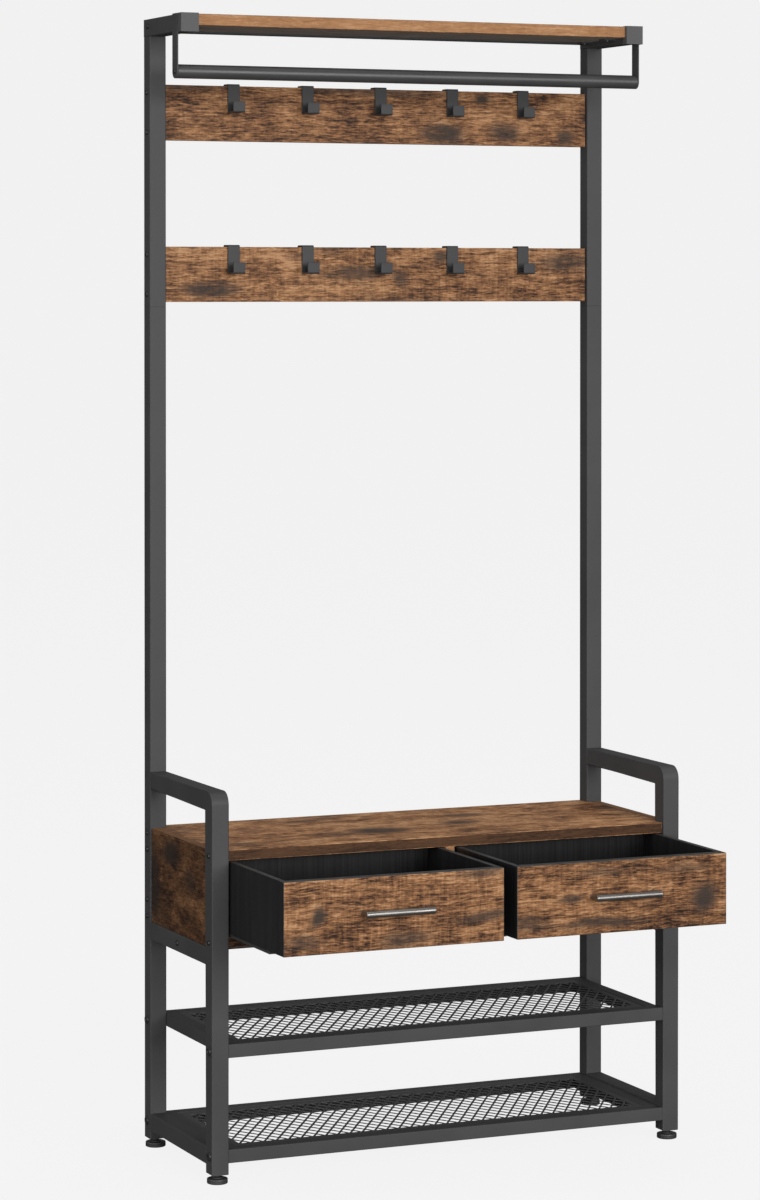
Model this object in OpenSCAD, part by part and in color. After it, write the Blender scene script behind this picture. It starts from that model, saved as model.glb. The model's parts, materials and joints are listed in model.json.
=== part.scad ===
// Hall tree: a steel tube frame with a top shelf, a hanging rod, two boards of
// over-the-edge hooks, a bench box with two drawers, and two mesh shoe shelves.
// X runs from left to right, -Y is the front, Z is up, and the origin is on the
// floor midway between the four feet.

/* [Overall] */
// Width over the side frames
overall_w = 800; // [640:1:960]
// Depth over the posts
overall_d = 300; // [250:1:360]
// Height of the steel frame above the floor
frame_h = 1789; // [1600:1:2100]

/* [Steel frame] */
// Side of the square frame tube
tube_w = 27.5; // [22:0.5:30]
// Wall of every steel tube
tube_wall = 1.2; // [1:0.1:2]
// Height of the tube ends above the floor
leg_lift = 14; // [12:0.5:20]
// Height of the joint in the back posts
post_seam = 1334; // [1320:1:1340]
// Length of the sleeve inside each back post joint
sleeve_len = 120; // [60:1:200]
// Wall of the sleeve
sleeve_wall = 1.5; // [1:0.1:2.5]
// Clearance of the sleeve in the post, on each side
sleeve_fit = 0.1; // [0.05:0.05:0.4]
// Height of the arm rests above the floor
arm_top = 597.5; // [560:0.5:680]
// Outer radius of the arm's front bend
arm_bend_r = 20; // [8:1:24]
// Height of the upper side rails' undersides above the floor
mid_rail_z = 332; // [300:1:360]
// Height of the bottom side rails' undersides above the floor
low_rail_z = 27.5; // [26:0.5:60]

/* [Top shelf and rod] */
// How far the top shelf reaches forward from the back of the posts
top_reach = 170; // [140:1:220]
// Thickness of the top shelf board
top_board_t = 18; // [15:0.5:22]
// How far the top board's front edge lies behind the rail ends
top_board_setback = 4; // [1:0.5:10]
// Side of the back rail's square tube
back_rail_w = 20; // [16:0.5:25]
// Wall of the caps over the rails' front ends
cap_wall = 1; // [0.8:0.1:2]
// How far each cap reaches over its rail
cap_len = 12; // [8:0.5:13]
// Thickness of the caps' closed ends
cap_end = 2; // [1:0.5:3]
// How far the rear plugs reach into the rails
plug_len = 15; // [8:1:30]
// Diameter of the hanging rod
rod_d = 22; // [16:0.5:25]
// Wall of the hanging rod
rod_wall = 1; // [0.8:0.1:2]
// Height of the rod's centre below the top of the frame
rod_drop = 89; // [60:0.5:120]
// Distance of the rod's centre behind the front ends of the top rails
rod_setback = 24; // [23.5:0.5:40]
// Thickness of the rod's hanger straps
strap_t = 2; // [1.5:0.5:4]
// Width of the board tabs under the top shelf
tab_w = 20; // [16:1:24]
// Thickness of the board tabs
tab_t = 2.5; // [1.5:0.5:4]

/* [Hook boards] */
// Height of each hook board
hook_board_h = 88; // [70:1:110]
// Thickness of the hook boards, the back panel and the side panels
board_t = 15; // [12:0.5:18]
// How far the hook boards' faces lie behind the posts' faces
hook_board_setback = 6; // [1:0.5:7]
// Height of the upper hook board's underside above the floor
upper_board_z = 1598; // [1560:1:1640]
// Height of the lower hook board's underside above the floor
lower_board_z = 1341.5; // [1340:0.5:1360]
// Gap between a hook board's end and its post
hook_board_gap = 1; // [0:0.5:2]
// Hooks on each board
hook_count = 5; // [5]
// Distance from hook to hook
hook_pitch = 128; // [100:1:150]
// Width of the hook's strap
hook_w = 20; // [12:1:25]
// Thickness of the hook's strap
hook_t = 2.8; // [2:0.2:4]
// Distance from the board's top edge down to the bottom of the hook
hook_drop = 43; // [32:0.5:60]
// Outer width of the hook's open bend, front to back
hook_reach = 27; // [18:0.5:35]
// Height of the hook's lip above the bottom of the bend
hook_lip = 18; // [14:0.5:24]
// Length of the hook's leg behind the board
hook_back_leg = 26; // [15:1:40]
// Clearance between a hook and its board
hook_fit = 0.3; // [0.2:0.05:0.6]

/* [Bench box] */
// Height of the bench's top face above the floor
bench_top_z = 508; // [480:1:540]
// Thickness of the bench top, the box bottom and the divider
bench_t = 16; // [12:0.5:18]
// How far the box's front edge lies behind the posts' front faces
bench_setback = 6; // [2:0.5:12]
// How far the side panels lie behind the outer faces of the posts
panel_inset = 2.5; // [1:0.5:5]
// Distance from the centre to each dowel row, along the depth
dowel_y = 70; // [40:1:90]
// Diameter of the wooden dowels
dowel_d = 8; // [6:0.5:8]
// Length of the wooden dowels
dowel_len = 24; // [18:1:26]
// Diametral clearance of the dowels
dowel_fit = 0.2; // [0.1:0.05:0.5]
// How deep a dowel goes into the outer board
dowel_bite = 10; // [8:1:11]

/* [Drawers] */
// Length of each open drawer that stays inside the box
drawer_hold = 46.75; // [30:0.25:260]
// Gap beside each drawer front
drawer_side_gap = 3; // [1.5:0.5:5]
// Gap above each drawer front
drawer_top_gap = 1.5; // [1:0.5:4]
// Gap below each drawer front
drawer_bottom_gap = 4.5; // [3:0.5:8]
// Thickness of the drawer fronts
drawer_front_t = 16; // [12:0.5:18]
// Thickness of the drawers' sides and backs
drawer_side_t = 9; // [6:0.5:12]
// Thickness of the drawers' bottoms
drawer_base_t = 3; // [2:0.5:6]
// Depth of the grooves that hold the bottoms
groove_depth = 4; // [2:0.5:5]
// Clearance of the bottoms in their grooves
groove_fit = 0.2; // [0.1:0.05:0.5]
// Height of the bottoms above the drawers' lower edges
groove_z = 8; // [4:0.5:15]
// Clear space behind a closed drawer
drawer_back_gap = 6; // [3:0.5:15]
// How far the glides start behind the drawer fronts
glide_setback = 40; // [10:1:100]
// Running clearance under the glides
glide_fit = 0.3; // [0.2:0.1:1]
// Diameter of the handle bars
handle_d = 10.5; // [7:0.5:14]
// Length of the handle bars
handle_len = 112; // [100:1:200]
// Distance between the handle's posts
handle_pitch = 102; // [64:1:160]
// Diameter of the handle's posts
handle_post_d = 9.5; // [6:0.5:10]
// Distance from the drawer front to the handle bar's centre
handle_out = 20; // [16:0.5:40]
// Height of the handle above the drawer front's lower edge
handle_up = 57.5; // [30:0.5:80]

/* [Shoe shelves] */
// Side of the shelf frames' square tube
shelf_tube_w = 21; // [16:0.5:25]
// Height of the middle shelf's underside above the floor
mid_shelf_z = 191.5; // [150:0.5:230]
// Height of the bottom shelf's underside above the floor
low_shelf_z = 31; // [30:0.5:60]
// How far the shelf frames lie behind the posts' faces
shelf_setback = 1.5; // [1:0.5:8]
// Thickness of the expanded mesh
mesh_t = 1.5; // [1:0.1:3]
// Width of a mesh strand
mesh_strand = 2.6; // [1.5:0.1:5]
// Width of one diamond, along the shelf
mesh_pitch_x = 20.6; // [14:0.1:40]
// Length of one diamond, front to back
mesh_pitch_y = 31.5; // [20:0.1:60]
// Uncut border of the mesh at its front and back
mesh_land_y = 10; // [4:0.5:20]
// Uncut border of the mesh at its ends
mesh_land_x = 4; // [2:0.5:20]
// How far the mesh lies below the shelf frame's top
mesh_drop = 1; // [0:0.5:5]

/* [Feet] */
// Diameter of the foot pad
foot_d = 32; // [24:0.5:40]
// Thickness of the foot pad
foot_h = 8; // [5:0.5:10]
// Diameter of the foot's stem
stem_d = 8; // [6:0.5:10]
// Length of the foot's stem above the pad
stem_len = 25; // [18:1:25]
// Radial clearance of the stem in its insert
stem_fit = 0.3; // [0.2:0.05:0.6]
// Length of the threaded insert in the post's end
insert_len = 20; // [12:1:22]

/* [Fasteners] */
// Diameter of the frame bolts
bolt_d = 6; // [4:0.5:8]
// Diametral clearance of every screw and bolt
bolt_fit = 0.2; // [0.1:0.05:0.5]
// How far a bolt goes past the inner face of the frame
bolt_bite = 30; // [15:1:45]
// Head diameter of the bolts that hold the boards
small_head_d = 9; // [8:0.5:14]
// Head diameter of the bolts that hold the shelves
large_head_d = 14; // [10:0.5:16]
// Height of the bolt heads
head_h = 2.5; // [1.5:0.5:5]
// Distance between the two bolts at a hook board's end
hook_bolt_pitch = 63; // [40:1:70]
// Distance between the two bolts at the back panel's end
panel_bolt_pitch = 80; // [50:1:90]
// Diameter of the small screws
screw_d = 4; // [3:0.5:5]
// Head diameter of the small screws
screw_head_d = 8; // [6:0.5:10]
// Thickness of the threaded plates in the ends of the cross tubes
end_plate_t = 3; // [2:0.5:6]

/* [Hidden] */
$fn = 48;

steel_color = "#4b4b4d";
mesh_color = "#3c3c3e";
wood_color = "#8a5f3c";
box_color = "#262628";
plastic_color = "#1d1d1f";
handle_color = "#6d6c6a";
dowel_color = "#c9ab7c";
cut = 1;

half_w = overall_w / 2;
half_d = overall_d / 2;
inner_x = half_w - tube_w;
post_mid_x = half_w - tube_w / 2;
post_mid_y = half_d - tube_w / 2;
inner_y = half_d - tube_w;
rail_top_z = frame_h - tube_w;
top_front_y = half_d - top_reach;

back_rail_y = inner_y;
back_rail_z = frame_h - back_rail_w - 1;
back_rail_mid = [back_rail_y + back_rail_w / 2, back_rail_z + back_rail_w / 2];
rod_y = top_front_y + rod_setback;
rod_z = frame_h - rod_drop;
strap_w = rod_d;
tab_ys = [top_front_y + tab_w * 2, inner_y - tab_w];
top_board_z = frame_h - top_board_t;

hook_board_y = inner_y + hook_board_setback;
hook_board_mid_y = hook_board_y + board_t / 2;
hook_board_half = inner_x - hook_board_gap;

box_front_y = -half_d + bench_setback;
bench_under_z = bench_top_z - bench_t;
box_floor_z = mid_rail_z + tube_w + bench_t;
back_panel_y = post_mid_y - board_t / 2;
panel_x = half_w - panel_inset - board_t;
box_mid_z = (bench_under_z + box_floor_z) / 2;

drawer_x0 = bench_t / 2 + drawer_side_gap;
drawer_x1 = inner_x - drawer_side_gap;
drawer_mid_x = (drawer_x0 + drawer_x1) / 2;
drawer_z0 = box_floor_z + drawer_bottom_gap;
drawer_h = bench_under_z - drawer_top_gap - drawer_z0;
drawer_depth = back_panel_y - drawer_back_gap - box_front_y;
drawer_open = drawer_depth - drawer_hold;
drawer_front_y = box_front_y - drawer_open;
drawer_back_y = back_panel_y - drawer_back_gap - drawer_open;
drawer_box_y = drawer_front_y + drawer_front_t;
handle_z = drawer_z0 + handle_up;

shelf_half_y = half_d - shelf_setback;
shelf_inner_x = inner_x - shelf_tube_w;
shelf_inner_y = shelf_half_y - shelf_tube_w;
shelf_rail_mid_y = shelf_half_y - shelf_tube_w / 2;

// Bolts through the side frames, each as its depth and height: [y, z]
hook_bolts_upper = [for (s = [-1, 1])
    [hook_board_mid_y, upper_board_z + hook_board_h / 2 + s * hook_bolt_pitch / 2]];
hook_bolts_lower = [for (s = [-1, 1])
    [hook_board_mid_y, lower_board_z + hook_board_h / 2 + s * hook_bolt_pitch / 2]];
panel_bolts = [for (s = [-1, 1]) [post_mid_y, box_mid_z + s * panel_bolt_pitch / 2]];
bench_bolts = [for (s = [-1, 1]) [s * post_mid_y, bench_top_z - bench_t / 2]];
floor_bolts = [for (s = [-1, 1]) [s * post_mid_y, box_floor_z - bench_t / 2]];
mid_shelf_bolts = [for (s = [-1, 1]) [s * shelf_rail_mid_y, mid_shelf_z + shelf_tube_w / 2]];
low_shelf_bolts = [for (s = [-1, 1]) [s * shelf_rail_mid_y, low_shelf_z + shelf_tube_w / 2]];
bar_bolts = [[0, mid_rail_z + tube_w / 2]];
back_rail_bolts = [back_rail_mid];
upper_post_bolts = concat(hook_bolts_upper, hook_bolts_lower);
lower_post_bolts = concat(panel_bolts, bench_bolts, floor_bolts, mid_shelf_bolts, low_shelf_bolts);

// Draws its children and their mirror image on the other side
module both_sides() {
    children();
    mirror([1, 0, 0]) children();
}

// Moves its children to the left or right half of the object
module on_side(left) {
    if (left) mirror([1, 0, 0]) children();
    else children();
}

// A rod along X from x0 to x1
module x_rod(d, x0, x1, y, z) {
    translate([x0, y, z]) rotate([0, 90, 0]) cylinder(d = d, h = x1 - x0);
}

// Bolt holes through the right-hand side frame
module bolt_holes(points, d = bolt_d) {
    for (p = points)
        x_rod(d + bolt_fit, inner_x - bolt_bite - cut, half_w + cut, p[0], p[1]);
}

// Upright square tube with its inner lower corner at x, y, z0
module upright_tube(x, y, z0, z1) {
    difference() {
        translate([x, y, z0]) cube([tube_w, tube_w, z1 - z0]);
        translate([x + tube_wall, y + tube_wall, z0 - cut])
            cube([tube_w - 2 * tube_wall, tube_w - 2 * tube_wall, z1 - z0 + 2 * cut]);
    }
}

// Square frame tube along the depth
module depth_tube(x, y0, y1, z) {
    difference() {
        translate([x, y0, z]) cube([tube_w, y1 - y0, tube_w]);
        translate([x + tube_wall, y0 - cut, z + tube_wall])
            cube([tube_w - 2 * tube_wall, y1 - y0 + 2 * cut, tube_w - 2 * tube_wall]);
    }
}

// Square tube across the width, closed by a threaded plate at each end
module cross_tube(w, y, z) {
    difference() {
        translate([-inner_x, y, z]) cube([2 * inner_x, w, w]);
        translate([-inner_x + end_plate_t, y + tube_wall, z + tube_wall])
            cube([2 * (inner_x - end_plate_t), w - 2 * tube_wall, w - 2 * tube_wall]);
        both_sides() bolt_holes([[y + w / 2, z + w / 2]]);
    }
}

// Board across the width between the side frames
module cross_board(y0, y1, z0, t, half = inner_x) {
    translate([-half, y0, z0]) cube([2 * half, y1 - y0, t]);
}

module lower_back_posts() {
    color(steel_color) both_sides() difference() {
        upright_tube(inner_x, inner_y, leg_lift, post_seam);
        bolt_holes(lower_post_bolts);
    }
}

module upper_back_posts() {
    color(steel_color) both_sides() difference() {
        upright_tube(inner_x, inner_y, post_seam, rail_top_z);
        bolt_holes(upper_post_bolts);
    }
}

module post_sleeves() {
    side = tube_w - 2 * tube_wall - 2 * sleeve_fit;
    core = side - 2 * sleeve_wall;
    color(steel_color) both_sides() difference() {
        translate([post_mid_x - side / 2, post_mid_y - side / 2, post_seam - sleeve_len / 2])
            cube([side, side, sleeve_len]);
        translate([post_mid_x - core / 2, post_mid_y - core / 2, post_seam - sleeve_len / 2 - cut])
            cube([core, core, sleeve_len + 2 * cut]);
        bolt_holes(hook_bolts_lower);
    }
}

module front_posts() {
    color(steel_color) both_sides() difference() {
        upright_tube(inner_x, -half_d, leg_lift, arm_top - tube_w);
        bolt_holes(lower_post_bolts);
    }
}

// Outline of an arm in side view, with its upper front corner rounded
module arm_outline(inset) {
    len = overall_d - tube_w;
    r = arm_bend_r - inset;
    h = tube_w - 2 * inset;
    translate([inset, inset]) union() {
        translate([r, 0]) square([len - 2 * inset - r, h]);
        intersection() {
            square([r, h]);
            union() {
                square([r, h - r]);
                translate([r, h - r]) circle(r = r);
            }
        }
    }
}

module arm_rails() {
    color(steel_color) both_sides() translate([inner_x, -half_d, arm_top - tube_w])
        rotate([90, 0, 90]) difference() {
            linear_extrude(height = tube_w) arm_outline(0);
            translate([0, 0, tube_wall])
                linear_extrude(height = tube_w - 2 * tube_wall) arm_outline(tube_wall);
        }
}

module mid_side_rails() {
    color(steel_color) both_sides() difference() {
        depth_tube(inner_x, -inner_y, inner_y, mid_rail_z);
        bolt_holes(bar_bolts);
    }
}

module bottom_side_rails() {
    color(steel_color) both_sides() depth_tube(inner_x, -inner_y, inner_y, low_rail_z);
}

module top_side_rails() {
    color(steel_color) both_sides() difference() {
        depth_tube(inner_x, top_front_y, half_d - cap_end, rail_top_z);
        bolt_holes(back_rail_bolts);
    }
}

module top_back_rail() {
    color(steel_color) cross_tube(back_rail_w, back_rail_y, back_rail_z);
}

module box_support_bar() {
    color(steel_color) cross_tube(tube_w, -tube_w / 2, mid_rail_z);
}

// Sleeve caps on the front ends of the top side rails and plugs in their rear ends
module rail_caps() {
    cap_w = tube_w + 2 * cap_wall;
    core = tube_w - 2 * tube_wall - 2 * sleeve_fit;
    color(plastic_color) both_sides() {
        difference() {
            translate([inner_x - cap_wall, top_front_y - cap_end, rail_top_z - cap_wall])
                cube([cap_w, cap_end + cap_len, cap_w]);
            translate([inner_x, top_front_y, rail_top_z]) cube([tube_w, cap_len + cut, tube_w]);
        }
        translate([inner_x, half_d - cap_end, rail_top_z]) cube([tube_w, cap_end, tube_w]);
        difference() {
            translate([post_mid_x - core / 2, half_d - cap_end - plug_len, rail_top_z + (tube_w - core) / 2])
                cube([core, plug_len, core]);
            bolt_holes(back_rail_bolts);
        }
    }
}

module tab_screw_holes() {
    for (y = tab_ys)
        translate([inner_x - tab_w / 2, y + tab_w / 2, top_board_z - tab_t - cut])
            cylinder(d = screw_d + bolt_fit, h = tab_t + top_board_t * 0.7);
}

module top_shelf_board() {
    color(wood_color) difference() {
        cross_board(top_front_y + top_board_setback, back_rail_y, top_board_z, top_board_t);
        both_sides() {
            tab_screw_holes();
            translate([inner_x - cap_wall, top_front_y, rail_top_z])
                cube([cap_wall + cut, cap_len, tube_w + cut]);
        }
    }
}

module shelf_tabs() {
    color(steel_color) both_sides() difference() {
        for (y = tab_ys)
            translate([inner_x - tab_w, y, top_board_z - tab_t]) cube([tab_w, tab_w, tab_t]);
        tab_screw_holes();
    }
}

module hanging_rod() {
    color(steel_color) difference() {
        x_rod(rod_d, -half_w, half_w, rod_y, rod_z);
        x_rod(rod_d - 2 * rod_wall, -half_w - cut, half_w + cut, rod_y, rod_z);
    }
}

module hanger_straps() {
    color(steel_color) both_sides() difference() {
        union() {
            x_rod(strap_w, half_w, half_w + strap_t, rod_y, rod_z);
            translate([half_w, rod_y - strap_w / 2, rod_z])
                cube([strap_t, strap_w, frame_h + cap_wall - rod_z]);
        }
        x_rod(screw_d + bolt_fit, half_w - cut, half_w + strap_t + cut, rod_y, rod_z);
    }
}

module rod_end_plugs() {
    color(plastic_color) both_sides() difference() {
        x_rod(rod_d - 2 * rod_wall, half_w - plug_len, half_w, rod_y, rod_z);
        x_rod(screw_d + bolt_fit, half_w - plug_len - cut, half_w + cut, rod_y, rod_z);
    }
}

module hook_board(z, bolts) {
    color(wood_color) difference() {
        cross_board(hook_board_y, hook_board_y + board_t, z, hook_board_h, hook_board_half);
        both_sides() bolt_holes(bolts);
    }
}

// Flat bar of a hook from y0 to y1 with a bend at each end. Its hollow side starts at bend_z
module bent_bar(y0, y1, bar_z, bend_z) {
    inner = y1 - y0 - 2 * hook_t;
    hollow_z = bar_z == bend_z ? bend_z - hook_t : bend_z;
    difference() {
        union() {
            translate([y0 + hook_t, bar_z]) square([inner, hook_t]);
            for (y = [y0 + hook_t, y1 - hook_t]) translate([y, bend_z]) circle(r = hook_t);
        }
        translate([y0 + hook_t, hollow_z]) square([inner, hook_t]);
    }
}

// Side view of a hook on a board whose top front edge is at the origin
module hook_outline() {
    plate_y = -hook_fit - hook_t;
    back_y = board_t + hook_fit;
    lip_y = -hook_fit - hook_reach;
    seat_z = hook_t - hook_drop;
    bent_bar(plate_y, back_y + hook_t, hook_fit, hook_fit);
    bent_bar(lip_y, -hook_fit, -hook_drop, seat_z);
    translate([plate_y, seat_z]) square([hook_t, hook_fit - seat_z]);
    translate([back_y, -hook_back_leg]) square([hook_t, hook_back_leg + hook_fit]);
    translate([lip_y, seat_z]) square([hook_t, hook_lip - hook_t]);
}

module hook(index, board_z) {
    x = (index - (hook_count + 1) / 2) * hook_pitch;
    color(steel_color) translate([x - hook_w / 2, hook_board_y, board_z + hook_board_h])
        rotate([90, 0, 90]) linear_extrude(height = hook_w) hook_outline();
}

// Holes for the dowels between the box's end boards and side panels
module side_dowels(d, extra, z) {
    for (s = [-1, 1])
        x_rod(d, panel_x - dowel_len + dowel_bite - extra, panel_x + dowel_bite + extra, s * dowel_y, z);
}

// Holes for the dowels above and below the centre divider
module divider_dowels(d, extra) {
    for (s = [-1, 1]) {
        translate([0, s * dowel_y, bench_under_z - dowel_len + dowel_bite - extra])
            cylinder(d = d, h = dowel_len + 2 * extra);
        translate([0, s * dowel_y, box_floor_z - dowel_bite - extra])
            cylinder(d = d, h = dowel_len + 2 * extra);
    }
}

module dowel_holes() {
    divider_dowels(dowel_d + dowel_fit, dowel_fit);
    both_sides() {
        side_dowels(dowel_d + dowel_fit, dowel_fit, bench_top_z - bench_t / 2);
        side_dowels(dowel_d + dowel_fit, dowel_fit, box_floor_z - bench_t / 2);
    }
}

// Board of the bench box whose corners are notched round the posts
module box_board(z) {
    cross_board(box_front_y, half_d, z, bench_t);
    cross_board(-inner_y, inner_y, z, bench_t, panel_x);
}

module bench_top() {
    color(wood_color) difference() {
        box_board(bench_under_z);
        both_sides() bolt_holes(bench_bolts);
        dowel_holes();
    }
}

module box_bottom() {
    color(wood_color) difference() {
        box_board(box_floor_z - bench_t);
        both_sides() bolt_holes(floor_bolts);
        dowel_holes();
    }
}

module back_panel() {
    color(wood_color) difference() {
        cross_board(back_panel_y, back_panel_y + board_t, box_floor_z, bench_under_z - box_floor_z);
        both_sides() bolt_holes(panel_bolts);
    }
}

module side_panel(left) {
    color(wood_color) on_side(left) difference() {
        translate([panel_x, -inner_y, mid_rail_z + tube_w])
            cube([board_t, 2 * inner_y, bench_top_z - mid_rail_z - tube_w]);
        dowel_holes();
    }
}

module centre_divider() {
    color(wood_color) difference() {
        translate([-bench_t / 2, box_front_y, box_floor_z])
            cube([bench_t, back_panel_y - box_front_y, bench_under_z - box_floor_z]);
        dowel_holes();
    }
}

// The drawer's bottom panel, or with a clearance the groove that holds it
module base_panel(fit) {
    x0 = drawer_x0 + drawer_side_t - groove_depth - fit;
    x1 = drawer_x1 - drawer_side_t + groove_depth + fit;
    y0 = drawer_box_y - groove_depth - fit;
    y1 = drawer_back_y - drawer_side_t + groove_depth + fit;
    translate([x0, y0, drawer_z0 + groove_z - fit])
        cube([x1 - x0, y1 - y0, drawer_base_t + 2 * fit]);
}

module handle_screw_shanks(d, y0, y1) {
    for (s = [-1, 1])
        translate([drawer_mid_x + s * handle_pitch / 2, y0, handle_z])
            rotate([-90, 0, 0]) cylinder(d = d, h = y1 - y0);
}

module drawer_front(left) {
    color(wood_color) on_side(left) difference() {
        translate([drawer_x0, drawer_front_y, drawer_z0])
            cube([drawer_x1 - drawer_x0, drawer_front_t, drawer_h]);
        base_panel(groove_fit);
        handle_screw_shanks(screw_d + bolt_fit, drawer_front_y - cut, drawer_box_y + cut);
    }
}

module drawer_side(left, outer) {
    color(box_color) on_side(left) difference() {
        translate([outer ? drawer_x1 - drawer_side_t : drawer_x0, drawer_box_y, drawer_z0])
            cube([drawer_side_t, drawer_back_y - drawer_box_y, drawer_h]);
        base_panel(groove_fit);
    }
}

module drawer_back(left) {
    color(box_color) on_side(left) difference() {
        translate([drawer_x0 + drawer_side_t, drawer_back_y - drawer_side_t, drawer_z0])
            cube([drawer_x1 - drawer_x0 - 2 * drawer_side_t, drawer_side_t, drawer_h]);
        base_panel(groove_fit);
    }
}

module drawer_base(left) {
    color(box_color) on_side(left) base_panel(0);
}

module drawer_handle(left) {
    bar_y = drawer_front_y - handle_out;
    bevel = handle_d / 8;
    r = handle_d / 2;
    color(handle_color) on_side(left) difference() {
        union() {
            translate([drawer_mid_x - handle_len / 2, bar_y, handle_z]) rotate([0, 90, 0])
                rotate_extrude() polygon([[0, 0], [r - bevel, 0], [r, bevel],
                    [r, handle_len - bevel], [r - bevel, handle_len], [0, handle_len]]);
            handle_screw_shanks(handle_post_d, bar_y, drawer_front_y);
        }
        handle_screw_shanks(screw_d + bolt_fit, bar_y + handle_d / 2, drawer_front_y + cut);
    }
}

module drawer_screws(left) {
    tip_y = drawer_front_y - handle_out + handle_d;
    color(handle_color) on_side(left) {
        handle_screw_shanks(screw_d, tip_y, drawer_box_y);
        handle_screw_shanks(screw_head_d, drawer_box_y, drawer_box_y + head_h);
    }
}

module drawer_glides(left) {
    glide_y = drawer_box_y + glide_setback;
    color(plastic_color) on_side(left)
        for (x = [drawer_x0, drawer_x1 - drawer_side_t])
            translate([x, glide_y, box_floor_z + glide_fit])
                cube([drawer_side_t, drawer_back_y - glide_y, drawer_bottom_gap - glide_fit]);
}

module shelf_long_rails() {
    color(steel_color) for (z = [mid_shelf_z, low_shelf_z]) {
        cross_tube(shelf_tube_w, -shelf_half_y, z);
        cross_tube(shelf_tube_w, shelf_inner_y, z);
    }
}

module shelf_end_rails() {
    core = shelf_tube_w - 2 * tube_wall;
    color(steel_color) both_sides() for (z = [mid_shelf_z, low_shelf_z]) difference() {
        translate([shelf_inner_x, -shelf_inner_y, z])
            cube([shelf_tube_w, 2 * shelf_inner_y, shelf_tube_w]);
        translate([shelf_inner_x + tube_wall, -shelf_inner_y - cut, z + tube_wall])
            cube([core, 2 * (shelf_inner_y + cut), core]);
    }
}

// Plan view of one mesh sheet: rows of diamonds, every other row shifted by half a diamond
module mesh_outline() {
    strand_angle = atan2(mesh_pitch_y, mesh_pitch_x);
    hole_x = mesh_pitch_x / 2 - mesh_strand / 2 / sin(strand_angle);
    hole_y = mesh_pitch_y / 2 - mesh_strand / 2 / cos(strand_angle);
    limit_x = shelf_inner_x - mesh_land_x - hole_x;
    limit_y = shelf_inner_y - mesh_land_y - hole_y;
    count_x = ceil(shelf_inner_x / mesh_pitch_x * 2);
    count_y = ceil(shelf_inner_y / mesh_pitch_y * 2);
    difference() {
        translate([-shelf_inner_x, -shelf_inner_y]) square([2 * shelf_inner_x, 2 * shelf_inner_y]);
        for (i = [-count_x : count_x], j = [-count_y : count_y]) {
            x = i * mesh_pitch_x / 2;
            y = j * mesh_pitch_y / 2;
            if ((i + j) % 2 == 0 && abs(x) <= limit_x && abs(y) <= limit_y)
                translate([x, y]) polygon([[hole_x, 0], [0, hole_y], [-hole_x, 0], [0, -hole_y]]);
        }
    }
}

module shelf_meshes() {
    color(mesh_color) for (z = [mid_shelf_z, low_shelf_z])
        translate([0, 0, z + shelf_tube_w - mesh_drop - mesh_t])
            linear_extrude(height = mesh_t) mesh_outline();
}

module foot(x_sign, y_sign) {
    r = foot_d / 2;
    edge = foot_h / 6;
    stem_r = stem_d / 2;
    color(plastic_color) translate([x_sign * post_mid_x, y_sign * post_mid_y, 0])
        rotate_extrude() polygon([[0, 0], [r - edge, 0], [r, edge], [r, foot_h - edge],
            [r - edge, foot_h], [stem_r, foot_h], [stem_r, foot_h + stem_len], [0, foot_h + stem_len]]);
}

module foot_inserts() {
    side = tube_w - 2 * tube_wall;
    color(plastic_color) both_sides() for (s = [-1, 1])
        translate([post_mid_x, s * post_mid_y, leg_lift]) difference() {
            translate([-side / 2, -side / 2, 0]) cube([side, side, insert_len]);
            translate([0, 0, -cut]) cylinder(r = stem_d / 2 + stem_fit, h = insert_len + 2 * cut);
        }
}

// A bolt through the right-hand side frame, with its head outside
module frame_bolts(points, head_d) {
    for (p = points) {
        x_rod(bolt_d, inner_x - bolt_bite, half_w, p[0], p[1]);
        x_rod(head_d, half_w, half_w + head_h, p[0], p[1]);
    }
}

module frame_fasteners() {
    color(plastic_color) both_sides() {
        frame_bolts(concat(upper_post_bolts, panel_bolts, bench_bolts, floor_bolts, back_rail_bolts, bar_bolts),
            small_head_d);
        frame_bolts(concat(mid_shelf_bolts, low_shelf_bolts), large_head_d);
        x_rod(screw_d, half_w - plug_len, half_w + strap_t, rod_y, rod_z);
        x_rod(screw_head_d, half_w + strap_t, half_w + strap_t + head_h, rod_y, rod_z);
        for (y = tab_ys) translate([inner_x - tab_w / 2, y + tab_w / 2, top_board_z - tab_t]) {
            cylinder(d = screw_d, h = tab_t + top_board_t / 2);
            translate([0, 0, -head_h]) cylinder(d = screw_head_d, h = head_h);
        }
    }
}

module wood_dowels() {
    color(dowel_color) {
        divider_dowels(dowel_d, 0);
        both_sides() {
            side_dowels(dowel_d, 0, bench_top_z - bench_t / 2);
            side_dowels(dowel_d, 0, box_floor_z - bench_t / 2);
        }
    }
}

lower_back_posts();
upper_back_posts();
post_sleeves();
front_posts();
arm_rails();
mid_side_rails();
bottom_side_rails();
top_side_rails();
top_back_rail();
box_support_bar();
rail_caps();
top_shelf_board();
shelf_tabs();
hanging_rod();
hanger_straps();
rod_end_plugs();
hook_board(upper_board_z, hook_bolts_upper);  // hook_board_upper
hook_board(lower_board_z, hook_bolts_lower);  // hook_board_lower
hook(1, upper_board_z);  // hook_upper_1
hook(2, upper_board_z);  // hook_upper_2
hook(3, upper_board_z);  // hook_upper_3
hook(4, upper_board_z);  // hook_upper_4
hook(5, upper_board_z);  // hook_upper_5
hook(1, lower_board_z);  // hook_lower_1
hook(2, lower_board_z);  // hook_lower_2
hook(3, lower_board_z);  // hook_lower_3
hook(4, lower_board_z);  // hook_lower_4
hook(5, lower_board_z);  // hook_lower_5
bench_top();
box_bottom();
back_panel();
side_panel(true);  // side_panel_left
side_panel(false);  // side_panel_right
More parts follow.
